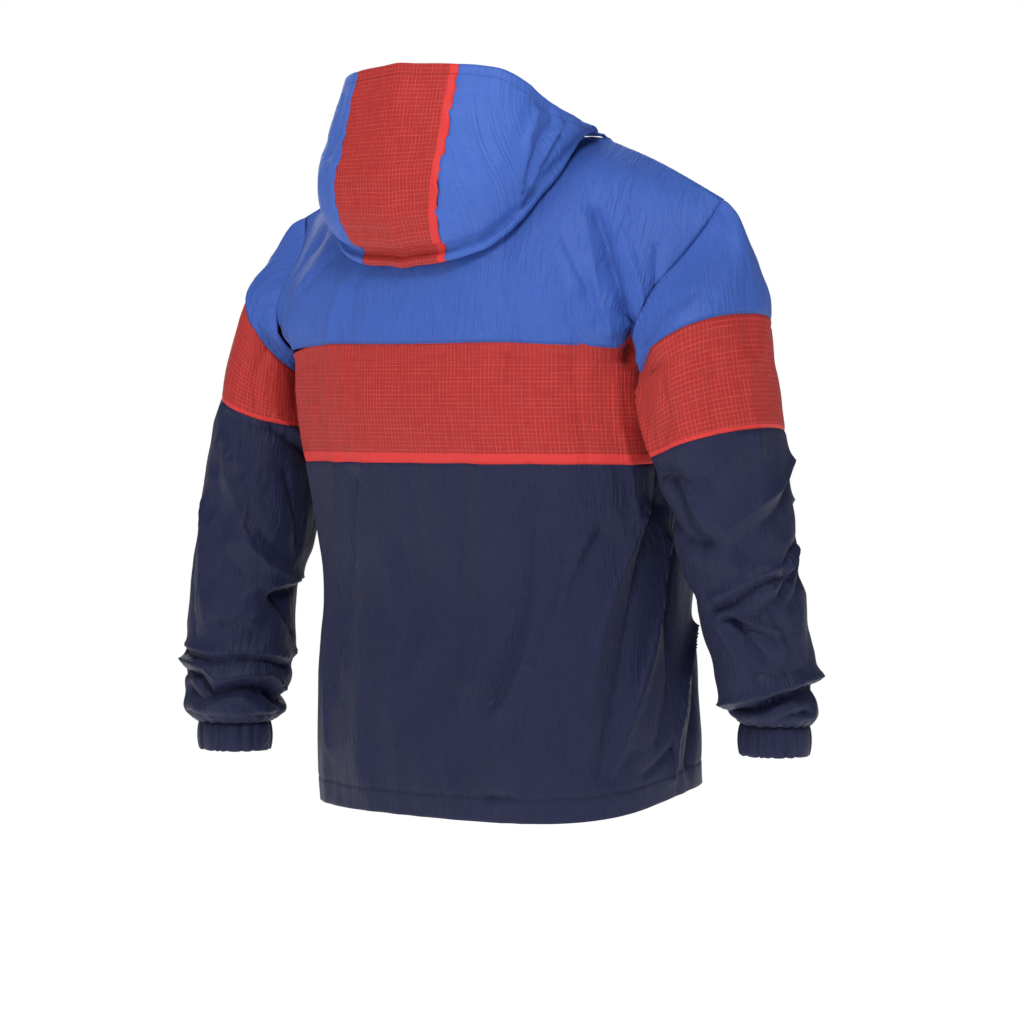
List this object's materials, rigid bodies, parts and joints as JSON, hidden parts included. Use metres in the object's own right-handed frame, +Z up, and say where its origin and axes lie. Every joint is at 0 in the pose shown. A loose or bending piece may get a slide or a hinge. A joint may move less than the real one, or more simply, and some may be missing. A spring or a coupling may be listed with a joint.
{
  "type": "hooded windbreaker jacket",
  "caption": "Lightweight hooded windbreaker jacket with colour-blocked panels, front zip, elastic cuffs and fallen hood, filled out as if worn.",
  "frame": {"origin": "middle of the neck opening, level with the highest point of the shoulders, where the wearer holds the jacket up", "axes": "+Z up, -Y is the front with the zip, +X is the wearer's left"},
  "size_m": [0.747, 0.3701, 0.759],
  "materials": {
    "shell_blue": "plain woven nylon, crinkled, soft sheen",
    "shell_red": "ripstop nylon with a lighter small grid",
    "shell_navy": "plain woven nylon, crinkled, soft sheen",
    "zip_tape": "woven zip tape with moulded coils",
    "zip_metal": "satin dark coating"
  },
  "bodies": {
    "jacket": {"back_yoke": "shell_blue", "back_stripe": "shell_red", "back_lower": "shell_navy", "front_left_yoke": "shell_blue", "front_left_stripe": "shell_red", "front_left_lower": "shell_navy", "front_right_yoke": "shell_blue", "front_right_stripe": "shell_red", "front_right_lower": "shell_navy", "sleeve_left_cap": "shell_blue", "sleeve_left_stripe": "shell_red", "sleeve_left_lower": "shell_navy", "sleeve_right_cap": "shell_blue", "sleeve_right_stripe": "shell_red", "sleeve_right_lower": "shell_navy", "cuff_left": "shell_navy", "cuff_right": "shell_navy", "hood_centre": "shell_red", "hood_side_left": "shell_blue", "hood_side_right": "shell_blue", "zip_tape_left": "zip_tape", "zip_tape_right": "zip_tape", "zip_slider": "zip_metal"},
    "zip_pull": {"zip_pull_tab": "zip_metal"}
  },
  "joints": [
    {"name": "zip_pull_hinge", "type": "hinge", "parent": "jacket", "child": "zip_pull", "pos_m": [0, -0.1459, -0.1004], "axis": [-1, 0, 0], "range_deg": [0, 120]}
  ]
}
